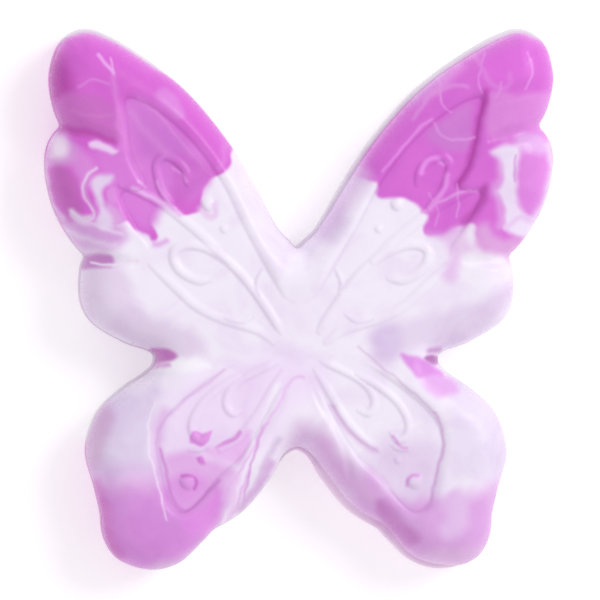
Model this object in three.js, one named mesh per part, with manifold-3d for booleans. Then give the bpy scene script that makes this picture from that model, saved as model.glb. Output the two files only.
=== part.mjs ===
// Butterfly baby teether, cast in soft silicone in several colours.
// A pale back layer carries a thick face. The face is a milk white centre with four coloured wing
// tips and two small drops of colour, poured side by side and bonded where they meet.
// Millimetres. +X is to the right of the face, +Y towards the upper wings, +Z out of the face.
// The origin is on the flat back, in the middle of it.

import * as THREE from 'three';
import * as BufferGeometryUtils from 'three/addons/utils/BufferGeometryUtils.js';
import Module from 'manifold-3d';

const wasm = await Module();
wasm.setup();

// Driving dimensions
const backThickness = 5; // pale layer, seen from the side as a rim
const seamGap = 0.3; // clearance left between neighbouring pours
const rimStep = 0.6; // how far the pale rim stands out past the face
const wallTop = 9; // where the straight side ends and the round shoulder begins
const faceHeight = 15; // top of the raised border
const shoulderWidth = 3.4; // how far in the round shoulder runs
const shoulderSegments = 4;
const backEdgeRound = 0.4; // softened lower edge of the back
const panelDepth = 1.4; // how far the wing panels lie below the border
const upperLean = 0.025; // sideways lean of the upper wings, per millimetre along Y
const leanStart = 4; // where on Y the lean begins
const widestRow = 22.4; // where on Y the wings are widest, which stays centred on the origin
const outlineStep = 1.7; // longest side of the outline's facets

// Relief on the panels
const veinRadius = 1;
const curlRadius = 0.75;
const ridgeSink = 0.25; // how far a ridge's centre lies under the panel
const ridgeSides = 8;
const ridgeStep = 1.6;
const grooveRadius = 1.1;
const dotSides = 12;
const dropSides = 24;
const cutterWidth = 100; // larger than the whole moulding
const mergeDistance = 1e-4;

// Half of the outline, from the notch between the upper wings round to the crotch.
// Each list is one smooth lobe, and the lobes meet at notches.
const lobes = [
  [[0, 8.75], [2.8, 11.3], [6.9, 18.4], [12.1, 26.6], [19, 34.6], [26.5, 40.4], [33, 44.1], [36.4, 44.9],
    [40, 42.8], [41.8, 37.5], [41.2, 32.4], [39.9, 28.8]],
  [[39.9, 28.8], [41.7, 25.9], [42.2, 22.3], [40.9, 15.8], [38.2, 10.6], [35.4, 7.1]],
  [[35.4, 7.1], [35.9, 5.2], [35.9, -0.3], [34.2, -3.7], [28.3, -7.4], [24.8, -8.6], [23.5, -9.9],
    [24.6, -11.7], [29, -14.8], [33.2, -18.9], [35, -25.2], [33.6, -31.1], [32.5, -36], [32.2, -39],
    [30, -42.9], [24.3, -44.9], [19.2, -43.6], [15.2, -40], [13.7, -38.4]],
  [[13.7, -38.4], [8.8, -35.3], [4.2, -29.8], [1.9, -26.1], [0, -25.1]],
];

// Sunk panels of one side, as closed smooth outlines
const upperCell = [[29.3, 33.4], [24.6, 31.7], [18.4, 26.4], [13.2, 19.6], [9.6, 12.6], [5.2, 4.8],
  [1.8, 0.2], [5.3, -1.6], [10.6, 4.4], [15.2, 9], [20, 13.4], [24.8, 17], [27.8, 22.8], [29, 29]];
const sideCell = [[29.6, 17.6], [27.6, 12.6], [25, 8.6], [24.4, 5], [20.4, 0.2], [15.2, -3.3], [9, -5.3],
  [6.2, -4.9], [11.4, 3.2], [17, 9], [22.8, 14.6]];
const lowerCell = [[5.4, -9.8], [9.4, -9.8], [15, -13.2], [21.2, -18.3], [23.6, -22.6], [22.9, -28],
  [21.6, -33.2], [19.2, -35], [16.4, -33], [13.6, -29.4], [9.4, -25.4], [5.8, -19.4], [3, -13]];

// Raised veins and scrolls of one side
const veins = [
  [[30, 19], [22.7, 15.8], [15.3, 9.6], [7.6, 0.6], [3.4, -5.6]],
  [[24.5, 5.2], [19.8, -0.2], [13.8, -4], [8.5, -5.6], [4.8, -7.6]],
  [[2.6, -12], [4.6, -15.4], [7.2, -19.4], [10, -22.6], [13.4, -24.9]],
];
const scrolls = [
  [[19, 19.2], [19.5, 21.4], [21.2, 23.1], [23, 23.7], [24.2, 22.4], [24, 20.2], [23, 17.6], [21, 15.3]],
  [[7, 0.8], [11.6, 5.5], [15.6, 8.2], [18.6, 9], [20.8, 8.1], [20.9, 6.3], [19.4, 4.4], [17, 3.1],
    [14.8, 3.3]],
  [[3.8, -10.6], [6.8, -12.2], [9.8, -13.6], [12, -15.4], [12.6, -17.4], [11.4, -18.8], [9.8, -18.4]],
  [[9.4, -11.6], [13.2, -14.3], [16.1, -17.1], [17.7, -20.2], [17.4, -22.6], [15.8, -23.4], [14.8, -22]],
];
const dots = [
  { at: [15.6, 15.7], radius: 1.2 },
  { at: [12.8, 11.7], radius: 0.8 },
  { at: [16.2, -26.5], radius: 0.8 },
  { at: [18.8, -30.1], radius: 1.5 },
];
// Grooves that run in from the notches between the lobes
const grooves = [
  [[41, 29], [35.5, 27.4], [31, 26.8]],
  [[36.5, 7.2], [32, 6.4], [27.6, 6.2]],
];

// Where each colour was poured, seen from above. Each outline runs outside the moulding,
// and only the part that lies over the face is used.
const pours = {
  upper_left_tip: [[-10.4, 26.4], [-11.8, 21.4], [-15.6, 18.6], [-16.9, 14.8], [-18.8, 14.2], [-22.4, 16.4],
    [-24.6, 14.6], [-24, 10.2], [-28.4, 11.6], [-33, 10], [-36, 8.2], [-50, 8], [-50, 50], [-10, 50]],
  upper_right_tip: [[7.6, 26], [10.4, 19.4], [13, 17.2], [17.8, 15.8], [20, 13.8], [25, 11.4], [30, 10.6],
    [35.6, 7.6], [50, 8], [50, 50], [8, 50]],
  lower_left_tip: [[-40, -27], [-30.5, -26.6], [-25.1, -28], [-19.3, -25.4], [-14.5, -28.6],
    [-12.3, -33.4], [-13.4, -38.4], [-12.5, -50], [-40, -50]],
  lower_right_tip: [[40, -30], [33.5, -30.4], [28.1, -33], [22.1, -34.2], [16.3, -32], [11.1, -30.6],
    [8.1, -34.4], [7.5, -40], [7.5, -50], [40, -50]],
};
const drops = {
  left_notch_drop: { at: [-22.4, -9.2], length: 5, width: 2.8, turn: 0.1 },
  right_notch_drop: { at: [23, -12], length: 8.6, width: 4, turn: -0.95 },
};

const finishes = {
  back: { color: 0xf3eef2, roughness: 0.3 },
  milk: { color: 0xf0e4f7, roughness: 0.25 },
  violet: { color: 0xd268d0, roughness: 0.25 },
  lilac: { color: 0xd893dc, roughness: 0.25 },
  orchid: { color: 0xe39fe6, roughness: 0.25 },
};

function lean(y) {
  return upperLean * (Math.max(y, leanStart) - widestRow);
}

// One side's points, leaned with the wing. The side is 1 on the right and -1 on the left.
function placed(points, side) {
  return points.map(([x, y]) => new THREE.Vector2(side * x + lean(y), y));
}

// Evenly spaced points on the smooth curve through a list of points
function smooth(points, closed) {
  const path = points.map((p) => new THREE.Vector3(p.x, p.y, 0));
  const curve = new THREE.CatmullRomCurve3(path, closed, 'centripetal');
  const count = Math.ceil(curve.getLength() / outlineStep);
  const spaced = curve.getSpacedPoints(count).map((p) => new THREE.Vector2(p.x, p.y));
  return spaced.slice(0, -1);
}

function outlineShape() {
  const right = lobes.flatMap((lobe) => smooth(placed(lobe, 1), false));
  const left = lobes.flatMap((lobe) => smooth(placed(lobe, -1), false));
  const [upperNotch, ...leftRest] = left;
  const crotch = placed([lobes.at(-1).at(-1)], 1);
  return new THREE.Shape([upperNotch, ...right.slice(1), ...crotch, ...leftRest.reverse()]);
}

function closedShape(points) {
  return new THREE.Shape(smooth(points, true));
}

function toSolid(geometry) {
  geometry.deleteAttribute('normal');
  geometry.deleteAttribute('uv');
  const merged = BufferGeometryUtils.mergeVertices(geometry, mergeDistance);
  return new wasm.Manifold(new wasm.Mesh({
    numProp: 3,
    vertProperties: new Float32Array(merged.attributes.position.array),
    triVerts: new Uint32Array(merged.index.array),
  }));
}

function toGeometry(solid) {
  const mesh = solid.getMesh();
  const geometry = new THREE.BufferGeometry();
  geometry.setAttribute('position', new THREE.BufferAttribute(new Float32Array(mesh.vertProperties), 3));
  geometry.setIndex(new THREE.BufferAttribute(new Uint32Array(mesh.triVerts), 1));
  geometry.computeVertexNormals();
  return geometry;
}

// A straight-sided block over an outline, grown or shrunk by an offset
function prism(shape, bottom, top, offset = 0) {
  const geometry = new THREE.ExtrudeGeometry(shape, {
    depth: top - bottom,
    bevelEnabled: true,
    bevelSegments: 0,
    bevelThickness: 0,
    bevelSize: 0,
    bevelOffset: offset,
  });
  return toSolid(geometry.translate(0, 0, bottom));
}

// The face block: straight below, with a round shoulder above
function faceBlock(shape) {
  const shoulderHeight = faceHeight - wallTop;
  const geometry = new THREE.ExtrudeGeometry(shape, {
    depth: wallTop,
    bevelSegments: shoulderSegments,
    bevelThickness: shoulderHeight,
    bevelSize: shoulderWidth,
    bevelOffset: -shoulderWidth - rimStep,
  });
  const bottom = backThickness + seamGap;
  const above = new THREE.BoxGeometry(cutterWidth, cutterWidth, faceHeight);
  above.translate(0, 0, bottom + faceHeight / 2);
  return toSolid(geometry).intersect(toSolid(above));
}

// A round bar along a smooth path at one height
function bar(points, radius, height) {
  const path = new THREE.CatmullRomCurve3(points.map((p) => new THREE.Vector3(p.x, p.y, height)));
  const section = new THREE.Shape(
    Array.from({ length: ridgeSides }, (_, i) => {
      const angle = (2 * Math.PI * i) / ridgeSides;
      return new THREE.Vector2(radius * Math.cos(angle), radius * Math.sin(angle));
    }),
  );
  const steps = Math.ceil(path.getLength() / ridgeStep);
  return toSolid(new THREE.ExtrudeGeometry(section, { steps, bevelEnabled: false, extrudePath: path }));
}

function dome({ at, radius }, side, height) {
  const [center] = placed([at], side);
  const ball = new THREE.SphereGeometry(radius, dotSides, dotSides / 2);
  ball.rotateX(Math.PI / 2).translate(center.x, center.y, height);
  return toSolid(ball);
}

function panelled(block) {
  const floor = faceHeight - panelDepth;
  let solid = block;
  for (const side of [1, -1]) {
    for (const cell of [upperCell, sideCell, lowerCell]) {
      const points = placed(cell, side);
      if (side < 0) points.reverse();
      solid = solid.subtract(prism(closedShape(points), floor, 2 * faceHeight));
    }
  }
  return solid;
}

function relieved(block) {
  const floor = faceHeight - panelDepth;
  let solid = block;
  for (const side of [1, -1]) {
    for (const line of grooves) {
      solid = solid.subtract(bar(placed(line, side), grooveRadius, faceHeight));
    }
    for (const line of veins) {
      solid = solid.add(bar(placed(line, side), veinRadius, floor - ridgeSink));
    }
    for (const line of scrolls) {
      solid = solid.add(bar(placed(line, side), curlRadius, floor - ridgeSink));
    }
    for (const dot of dots) {
      solid = solid.add(dome(dot, side, floor - ridgeSink));
    }
  }
  return solid;
}

function pourShape(points) {
  return closedShape(points.map(([x, y]) => new THREE.Vector2(x, y)));
}

function dropShape({ at, length, width, turn }) {
  const curve = new THREE.EllipseCurve(at[0], at[1], length / 2, width / 2, 0, 2 * Math.PI, false, turn);
  return new THREE.Shape(curve.getPoints(dropSides).slice(0, -1));
}

function backLayer(shape) {
  const geometry = new THREE.ExtrudeGeometry(shape, {
    depth: backThickness - 2 * backEdgeRound,
    bevelSegments: 1,
    bevelThickness: backEdgeRound,
    bevelSize: backEdgeRound,
    bevelOffset: -backEdgeRound,
  });
  return toSolid(geometry.translate(0, 0, backEdgeRound));
}

function addPart(group, name, solid, finish) {
  const material = new THREE.MeshStandardMaterial({ ...finish, metalness: 0 });
  const mesh = new THREE.Mesh(toGeometry(solid), material);
  mesh.name = name;
  group.add(mesh);
}

function buildTeether() {
  const group = new THREE.Group();
  const shape = outlineShape();
  addPart(group, 'back_layer', backLayer(shape), finishes.back);

  const face = relieved(panelled(faceBlock(shape)));
  let centre = face;
  const cast = (name, outline, finish) => {
    addPart(group, name, face.intersect(prism(outline, 0, 2 * faceHeight)), finish);
    centre = centre.subtract(prism(outline, 0, 2 * faceHeight, seamGap));
  };
  for (const [name, points] of Object.entries(pours)) {
    cast(name, pourShape(points), name.startsWith('upper') ? finishes.violet : finishes.lilac);
  }
  for (const [name, drop] of Object.entries(drops)) {
    cast(name, dropShape(drop), finishes.orchid);
  }
  addPart(group, 'centre_body', centre, finishes.milk);
  return group;
}

export default buildTeether();
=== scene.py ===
import math
import bpy
import numpy as np
from mathutils import Matrix, Vector
from mathutils.geometry import delaunay_2d_cdt
from mathutils.kdtree import KDTree


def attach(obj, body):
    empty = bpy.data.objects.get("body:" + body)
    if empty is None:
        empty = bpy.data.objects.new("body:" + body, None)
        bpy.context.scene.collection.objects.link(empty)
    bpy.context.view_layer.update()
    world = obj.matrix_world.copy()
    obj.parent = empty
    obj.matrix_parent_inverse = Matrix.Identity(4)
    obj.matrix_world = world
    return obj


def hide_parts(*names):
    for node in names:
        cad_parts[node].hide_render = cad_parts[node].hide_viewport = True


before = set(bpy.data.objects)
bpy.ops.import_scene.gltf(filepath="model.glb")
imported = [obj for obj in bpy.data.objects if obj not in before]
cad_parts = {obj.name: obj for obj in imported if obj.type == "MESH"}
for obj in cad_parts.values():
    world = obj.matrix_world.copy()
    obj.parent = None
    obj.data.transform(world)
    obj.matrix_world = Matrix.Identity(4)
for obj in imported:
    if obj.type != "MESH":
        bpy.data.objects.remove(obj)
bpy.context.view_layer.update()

# A butterfly teether cast in soft silicone, lying on its flat back.
# Flat outlines are worked out in millimetres, and every finished mesh is in metres.
mm = 0.001


def addNode(tree, kind, inputs=None, **settings):
    # adds a node, links or sets its inputs, and hands back its outputs
    made = tree.nodes.new(kind)
    for name, value in settings.items():
        setattr(made, name, value)
    for name, value in (inputs or {}).items():
        if isinstance(value, bpy.types.NodeSocket):
            tree.links.new(value, made.inputs[name])
        else:
            made.inputs[name].default_value = value
    return made.outputs


def srgb(hexColour):
    return np.array([int(hexColour[i:i + 2], 16) / 255 for i in (1, 3, 5)])


def linear(colour):
    values = srgb(colour) if isinstance(colour, str) else colour
    return np.where(values <= 0.04045, values / 12.92, ((values + 0.055) / 1.055) ** 2.4)


def rgba(hexColour):
    return (*linear(hexColour), 1.0)


# Camera, lights and floor

cameraView = {
    "lens": 600.0,  # long, so the wings keep their proportions
    "sensor": 36.0,
    "width": 99.7 * mm,  # what the view takes in at the middle of the rim's height
    "level": 4 * mm,
    "aim": (0.25 * mm, -0.2 * mm),
    "leanLeft": 3.5,  # degrees from straight above
    "leanUp": 1.5,
    "clip": (0.1, 4.0),  # nearest and farthest, in shares of the distance
}


def makeCamera():
    data = bpy.data.cameras.new("overheadCamera")
    data.lens = cameraView["lens"]
    data.sensor_width = cameraView["sensor"]
    distance = cameraView["width"] * data.lens / data.sensor_width
    back = Vector((-math.tan(math.radians(cameraView["leanLeft"])),
                   math.tan(math.radians(cameraView["leanUp"])), 1)).normalized()
    right = Vector((0, 1, 0)).cross(back).normalized()
    top = back.cross(right)
    turned = Matrix((right, top, back)).transposed().to_4x4()
    aim = Vector((*cameraView["aim"], cameraView["level"]))
    camera = bpy.data.objects.new("overheadCamera", data)
    camera.matrix_world = Matrix.Translation(aim + back * distance) @ turned
    data.clip_start, data.clip_end = (distance * share for share in cameraView["clip"])
    bpy.context.scene.collection.objects.link(camera)
    bpy.context.scene.camera = camera


lighting = {
    "sky": "#FFFFFF", "skyStrength": 0.8,
    "keyAt": (0.62, 0.4, 0.72), "keySize": 0.5, "keyPower": 3.4,  # metres and watts
}


def makeLights():
    world = bpy.data.worlds.new("studioSky")
    world.use_nodes = True
    sky = world.node_tree.nodes["Background"]
    sky.inputs["Color"].default_value = rgba(lighting["sky"])
    sky.inputs["Strength"].default_value = lighting["skyStrength"]
    bpy.context.scene.world = world
    data = bpy.data.lights.new("keyLight", "AREA")
    data.shape = "DISK"
    data.size = lighting["keySize"]
    data.energy = lighting["keyPower"]
    light = bpy.data.objects.new("keyLight", data)
    light.location = lighting["keyAt"]
    light.rotation_mode = "QUATERNION"
    light.rotation_quaternion = (-Vector(lighting["keyAt"])).to_track_quat("-Z", "Y")
    bpy.context.scene.collection.objects.link(light)


floorFinish = {
    "size": 3.0, "light": "#FCFBFC", "shade": "#F7F5F7", "grain": 0.4 * mm,
    "glow": 0.22, "roughness": 0.9, "shine": 0.1,
}


def makeFloor():
    half = floorFinish["size"] / 2
    mesh = bpy.data.meshes.new("studioFloor")
    mesh.from_pydata([(-half, -half, 0), (half, -half, 0), (half, half, 0), (-half, half, 0)], [],
                     [(0, 1, 2, 3)])
    floor = bpy.data.objects.new("studioFloor", mesh)
    bpy.context.scene.collection.objects.link(floor)
    opal = bpy.data.materials.new("opalAcrylic")  # a light table: matt, evenly lit, with faint shadows
    opal.use_nodes = True
    tree = opal.node_tree
    where = addNode(tree, "ShaderNodeTexCoord")["Object"]
    grain = addNode(tree, "ShaderNodeTexNoise", {"Vector": where, "Scale": 1 / floorFinish["grain"]})
    light, shade = rgba(floorFinish["light"]), rgba(floorFinish["shade"])
    tone = addNode(tree, "ShaderNodeMix", {0: grain["Fac"], 6: light, 7: shade}, data_type="RGBA")
    shader = tree.nodes["Principled BSDF"]
    tree.links.new(tone[2], shader.inputs["Base Color"])
    shader.inputs["Roughness"].default_value = floorFinish["roughness"]
    shader.inputs["Specular IOR Level"].default_value = floorFinish["shine"]
    tree.links.new(tone[2], shader.inputs["Emission Color"])
    shader.inputs["Emission Strength"].default_value = floorFinish["glow"]
    mesh.materials.append(opal)


makeCamera()
makeLights()
makeFloor()
bpy.context.scene.view_settings.view_transform = "Standard"
print("stage: camera, lights and floor")


# Flat curves and outlines, in millimetres

tiny = 1e-12  # keeps a division from zero
curveSteps = 12  # points worked out between two given ones, before they are spaced evenly


def catmull(a, b, c, d, t):
    return 0.5 * (2 * b + (c - a) * t + (2 * a - 5 * b + 4 * c - d) * t ** 2
                  + (3 * b - a - 3 * c + d) * t ** 3)


def smoothed(points, step, closed=False):
    p = np.asarray(points, float)
    if closed:
        ring = np.vstack([p[-1:], p, p[:2]])
    else:
        ring = np.vstack([2 * p[0] - p[1], p, 2 * p[-1] - p[-2]])
    t = np.linspace(0, 1, curveSteps, endpoint=False)[:, None]
    parts = [catmull(*ring[i:i + 4], t) for i in range(len(ring) - 3)]
    line = np.vstack([*parts, ring[-2]])
    along = np.concatenate([[0], np.cumsum(np.linalg.norm(np.diff(line, axis=0), axis=1))])
    marks = np.linspace(0, along[-1], max(2, round(along[-1] / step)) + 1)
    even = np.column_stack([np.interp(marks, along, line[:, k]) for k in (0, 1)])
    return even[:-1] if closed else even


def unit(vectors):
    return vectors / np.maximum(np.linalg.norm(vectors, axis=1), tiny)[:, None]


def outwardNormals(loop):
    ahead = np.roll(loop, -1, 0) - np.roll(loop, 1, 0)
    return unit(np.column_stack([ahead[:, 1], -ahead[:, 0]]))


def signedArea(loop):
    x, y = loop.T
    return 0.5 * np.sum(x * np.roll(y, -1) - np.roll(x, -1) * y)


def insideOf(points, polygon):
    inside = np.zeros(len(points), bool)
    x, y = points.T
    for (ax, ay), (bx, by) in zip(polygon, np.roll(polygon, -1, 0)):
        if ay != by:
            crosses = (ay > y) != (by > y)
            inside ^= crosses & (x < (bx - ax) * (y - ay) / (by - ay) + ax)
    return inside


def distanceTo(points, line, closed):
    best = np.full(len(points), np.inf)
    ends = np.roll(line, -1, 0) if closed else line[1:]
    for a, b in zip(line, ends):
        along = b - a
        t = np.clip((points - a) @ along / max(along @ along, tiny), 0, 1)
        best = np.minimum(best, np.sum((points - a - t[:, None] * along) ** 2, axis=1))
    return np.sqrt(best)


def nearestTo(points, line):
    tree = KDTree(len(line))
    for i, (x, y) in enumerate(line):
        tree.insert((x, y, 0), i)
    tree.balance()
    found = [tree.find((x, y, 0)) for x, y in points]
    return np.array([f[2] for f in found]), np.array([f[1] for f in found])


def cadLoop(node, height):
    # the closed line in which a CAD solid's side wall meets one height, anticlockwise
    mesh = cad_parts[node].data
    place = np.array([v.co for v in mesh.vertices]) / mm
    level = np.abs(place[:, 2] - height) < rim["cadSlack"]
    nextTo = {}
    for face in mesh.polygons:
        flat = [tuple(np.round(place[v, :2], 3)) for v in face.vertices if level[v]]
        if len(flat) == 2 and flat[0] != flat[1]:
            nextTo.setdefault(flat[0], set()).add(flat[1])
            nextTo.setdefault(flat[1], set()).add(flat[0])
    start = min(nextTo)
    walk = [start, min(nextTo[start])]
    while True:
        onward = [p for p in nextTo[walk[-1]] if p != walk[-2]]
        if onward[0] == start:
            break
        walk.append(onward[0])
    loop = np.array(walk)
    return loop if signedArea(loop) > 0 else loop[::-1]


rim = {
    "cadStep": 0.6,  # how far the CAD back stands out past the CAD face
    # how far the pale layer shows past the face, at points round the outline
    "ledge": [((20, 34), 0.62), ((8, 20), 0.6), ((32, 43), 0.8), ((37, 44.6), 0.8), ((41, 40), 0.2),
        ((41, 36), 0.1), ((0, 9), 0.35), ((-8, 20), 0.15), ((-20, 34), 0.2), ((-27, 40), 0.6),
        ((-35, 45), 0.75), ((-40, 42), 0.2), ((-41, 36), 0.08), ((-41, 24), 0.1), ((-36, 0), 0.2),
        ((-24, -10), 0.3), ((-35, -25), 0.08), ((-32, -38), 0.08), ((-24, -45), 0.1), ((-14, -39), 0.4),
        ((-5, -29), 0.3), ((0, -25), 0.7), ((5, -31), 1.15), ((12, -37), 1.2), ((20, -44), 0.9),
        ((30, -42), 0.1), ((34, -25), 0.15), ((24, -10), 0.3), ((36, 0), 0.15), ((41, 22), 0.15)],
    "thickness": 5.0,
    "cadRound": 0.4,  # height at which the CAD back reaches its full outline
    "cadSeat": 5.3,  # lowest level of the CAD pours
    "cadSlack": 0.02,  # how far off a level a CAD corner may lie
    "ledgeBlend": 0.5,  # softens the change from one ledge width to the next
    "lineStep": 0.25,
    "edgeTouch": 0.16,  # how close a pour's outline lies to the face's edge where it follows it
    "edgePush": 1.0,  # how far past the edge it is then pushed, so that no sliver stays between them
    "lowerRound": 0.9, "upperRound": 0.6,  # rounded edges of the pale layer
    "roundSteps": 6,
}
outline = smoothed(cadLoop("back_layer", rim["cadRound"]), rim["lineStep"], True)
cadFaceLoop = outline - outwardNormals(outline) * rim["cadStep"]


def ledgeAt(points):
    marks = np.array([mark for mark, _ in rim["ledge"]], float)
    widths = np.array([width for _, width in rim["ledge"]])
    weight = 1 / (np.sum((points[:, None, :] - marks) ** 2, axis=2) + rim["ledgeBlend"]) ** 2
    return (weight @ widths) / weight.sum(axis=1)


faceLoop = smoothed(outline - outwardNormals(outline) * ledgeAt(outline)[:, None], rim["lineStep"], True)
casts = {  # each CAD pour's finished piece and silicone; the first fills what the others leave
    "centre_body": ("milkCentre", "milkSilicone"),
    "upper_left_tip": ("violetTipLeft", "violetSilicone"),
    "upper_right_tip": ("violetTipRight", "violetSilicone"),
    "lower_left_tip": ("lilacTipLeft", "lilacSilicone"),
    "lower_right_tip": ("lilacTipRight", "lilacSilicone"),
    "left_notch_drop": ("orchidDropLeft", "orchidSilicone"),
    "right_notch_drop": ("orchidDropRight", "orchidSilicone"),
}
pours = list(casts)[1:]


def pourEdge(node):
    # the pour's own outline, with the stretch that lies on the face's edge pushed out past it
    loop = cadLoop(node, rim["cadSeat"])
    apart, nearest = nearestTo(loop, cadFaceLoop)
    onEdge = apart < rim["edgeTouch"]
    start = int(np.argmax(onEdge & ~np.roll(onEdge, -1)))  # the last edge point before the seam
    loop, onEdge, nearest = (np.roll(a, -start, 0) for a in (loop, onEdge, nearest))
    seamLength = int(np.argmax(onEdge[1:])) + 1
    seam = smoothed(loop[:seamLength + 1], rim["lineStep"])
    past = outwardNormals(cadFaceLoop) * rim["edgePush"]
    beyond = loop[seamLength:] + past[nearest[seamLength:]]
    return np.vstack([seam, beyond, loop[:1] + past[nearest[:1]]])


sheetGrid = {
    "face": 0.24, "back": 0.8,  # distance between neighbouring points
    "rings": [0.05, 0.13, 0.25, 0.4, 0.6, 0.82, 1.05],  # finer rows where the shoulder turns over
    "backRings": [0.3, 0.7],
    "ringShare": 0.92,  # a row's points keep this share of its depth from every edge
    "latticeGap": 0.55,  # room between the last row and the lattice, in lattice steps
    "seamRoom": 0.1,
}


def gridPoints(border, spacing, rings, keepOff=None):
    normals = outwardNormals(border)
    parts = []
    for depth in rings:
        ring = border - normals * depth
        parts.append(ring[nearestTo(ring, border)[0] > sheetGrid["ringShare"] * depth])
    low, high = border.min(0), border.max(0)
    rowStep = spacing * math.sqrt(0.75)  # rows of an even-sided lattice
    x, y = np.meshgrid(np.arange(low[0], high[0], spacing), np.arange(low[1], high[1], rowStep))
    x[1::2] += spacing / 2
    lattice = np.column_stack([x.ravel(), y.ravel()])
    lattice = lattice[insideOf(lattice, border[::2])]
    room = rings[-1] + sheetGrid["latticeGap"] * spacing
    lattice = lattice[nearestTo(lattice, border)[0] > room]
    points = np.vstack([*parts, lattice])
    if keepOff is not None:
        points = points[nearestTo(points, keepOff)[0] > sheetGrid["seamRoom"]]
    return points


def triangulated(border, points, areas=()):
    # triangles inside the border, each with the number of the area that it lies in (0 is none)
    corners = np.vstack([border, *areas, points])
    faces, first = [], 0
    for loop in (border, *areas):
        faces.append(list(range(first, first + len(loop))))
        first += len(loop)
    made = delaunay_2d_cdt([Vector(p) for p in corners], [], faces, 1, 1e-6, True)
    flat = np.array([tuple(v) for v in made[0]])
    kept = [(t, max(ids)) for t, ids in zip(made[2], made[5]) if 0 in ids]
    triangles = np.array([t for t, _ in kept])
    a, b, c = (flat[triangles[:, k]] for k in range(3))
    turn = (b[:, 0] - a[:, 0]) * (c[:, 1] - a[:, 1]) - (b[:, 1] - a[:, 1]) * (c[:, 0] - a[:, 0])
    triangles[turn < 0] = triangles[turn < 0][:, ::-1]
    return flat, triangles, np.array([area for _, area in kept])


def meshObject(name, place, faces, material=None):
    mesh = bpy.data.meshes.new(name)
    mesh.from_pydata([tuple(p) for p in place], [], faces)
    if material:
        mesh.materials.append(material)
    made = bpy.data.objects.new(name, mesh)
    bpy.context.scene.collection.objects.link(made)
    return made


# The raised design, drawn for the right wing and mirrored for the left

lean = {"slope": 0.025, "start": 4.0, "widestRow": 22.4}  # the upper wings lean a little sideways


def placed(points, side):
    return np.array([(side * x + lean["slope"] * (max(y, lean["start"]) - lean["widestRow"]), y)
                     for x, y in points])


design = {
    # the sunk middle of a wing: crisp at its foot, and open towards the middle of the body
    "cells": [
        [(0.4, -0.9), (2.6, 0.6), (5.2, 4.8), (9.6, 12.6), (13.2, 19.6), (18.4, 26.4), (24.6, 31.7),
            (29.3, 33.4), (29, 29), (28, 23.4), (26, 19.4), (27, 18.2), (29.7, 17.8), (28.8, 15),
            (27.2, 12.2), (25, 8.8), (24.4, 5), (20.4, 0.2), (15.2, -3.3), (9, -5.3), (5, -6), (-2, -6)],
        [(-2, -7), (5, -8.2), (9.4, -9.8), (15, -13.2), (21.2, -18.3), (23.6, -22.6), (22.9, -28),
            (21.6, -33.2), (19.2, -35), (16.4, -33), (13.6, -29.4), (9.4, -25.4), (5.8, -19.4), (3.4, -15),
            (0.4, -12.9), (-2, -12)],
    ],
    # a broad dish under the body and the side cells, with no edge of its own
    "dish": [(-3, -2), (8, -4), (15, -2.6), (21, 1.6), (25, 6), (26.4, 2), (21, -4.6), (15, -8), (9, -9.6),
        (3, -11.4), (-3, -11.4)],
    # each stroke: how far it reaches to either side, how high it stands, and its middle line
    "veins": [
        (0.95, 0.3, [(30, 19), (26.4, 17.6), (22.7, 15.6), (18.8, 12.6), (15.3, 9.6), (12, 6.4)]),
        (0.9, 0.28, [(24.6, 5.8), (21.2, 2.6), (17.4, -0.9), (13.4, -3), (9.6, -4.2), (6.8, -5.2),
            (4.4, -7)]),
        (0.85, 0.3, [(2.6, -11.6), (4.8, -15.2), (7.2, -19.2), (9.8, -22.4), (13.2, -24.8)]),
    ],
    "scrolls": [
        (0.8, 0.4, [(19, 19.2), (19.5, 21.4), (21.2, 23.1), (23, 23.7), (24.2, 22.4), (24, 20.2),
            (23, 17.6), (21, 15.3)]),
        (0.9, 0.38, [(3.2, -5.2), (5.2, -2), (8, 2), (11.2, 5.6), (14.4, 7.9), (17.4, 9), (19.6, 8.9),
            (21, 7.9), (20.8, 6), (19.4, 4.4), (17, 3.3), (14.8, 3.5)]),
        (0.75, 0.3, [(3.8, -10.2), (6.8, -11.6), (9.6, -13.1), (11.6, -15), (12.3, -17.2), (11.3, -18.7),
            (9.8, -18.3)]),
        (0.75, 0.32, [(9.4, -12.2), (13.2, -14.5), (16.2, -17.1), (17.9, -20.2), (17.6, -22.4),
            (16.2, -23.2), (15.2, -22)]),
    ],
    "marks": [
        (0.5, 0.22, [(6, 5.2), (7, 2.8), (6.6, 1.1)]),
        (0.5, 0.2, [(7.7, -2.4), (9.5, -3.4), (12.2, -2.9)]),
        (0.5, 0.2, [(15.2, -24), (16.4, -24.6), (18, -24.8)]),
        (1.15, 0.5, [(15.6, 15.7)]), (0.75, 0.28, [(12.8, 11.7)]),
        (0.75, 0.25, [(16.2, -26.5)]), (1.4, 0.5, [(18.8, -30.1)]),
    ],
    "grooves": [  # cut in from the notches between the lobes
        (2.0, -0.9, [(41, 29), (35.5, 27.4), (31, 26.4)]),
        (1.8, -0.8, [(36.5, 7.2), (32, 6.4), (27.6, 6.2)]),
        (1.0, -0.3, [(2.1, -14.6), (3.6, -17.7), (5.5, -21), (7.4, -24.9), (8.2, -28.8), (9.3, -33.6)]),
    ],
    "tapers": {"veins": 4.0, "scrolls": 1.6, "marks": 1.0, "grooves": 3.0},  # how long its ends sink
    "leastEnd": 0.1,  # share of its height that a stroke keeps at its very end
    "strokeStep": 0.08,
}


def storeValues(mesh, name, values):
    mesh.attributes.new(name, "FLOAT", "POINT").data.foreach_set("value", values.astype(np.float32))


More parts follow.
